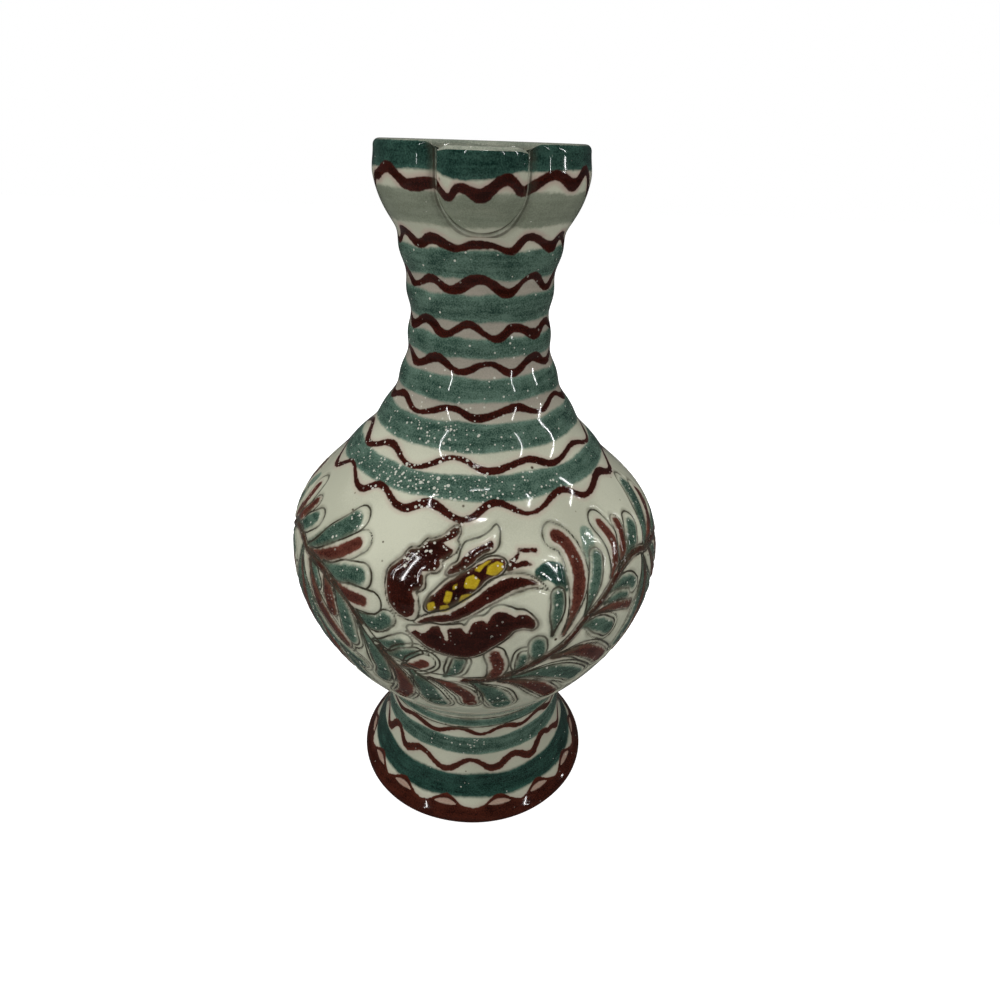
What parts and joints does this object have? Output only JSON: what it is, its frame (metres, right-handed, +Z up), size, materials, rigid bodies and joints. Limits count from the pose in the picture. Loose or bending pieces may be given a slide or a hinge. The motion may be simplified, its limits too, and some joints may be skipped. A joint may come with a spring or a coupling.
{
  "type": "footed jug",
  "caption": "Footed earthenware jug with a round belly, a tall ribbed neck, a bowl-shaped collar with a let-in pouring lip, and a strap handle at the back.",
  "frame": {"origin": "centre of the flat ring that the foot stands on, on the jug's axis", "axes": "+Z up along the jug's axis, -Y towards the pouring lip, +Y towards the handle"},
  "size_m": [0.158, 0.1605, 0.28],
  "materials": {
    "foot_glaze": "glossy clear glaze over green and brown painted bands",
    "body_glaze": "glossy clear glaze over white slip with painted and incised ornament",
    "neck_glaze": "glossy clear glaze over green bands and brown waves on white slip",
    "mouth_glaze": "glossy clear glaze over a green rim band and a pale green wash"
  },
  "bodies": {
    "root": {"foot": "foot_glaze", "belly": "body_glaze", "neck": "neck_glaze", "collar": "mouth_glaze", "pouring_lip": "mouth_glaze", "handle": "body_glaze"}
  },
  "joints": []
}
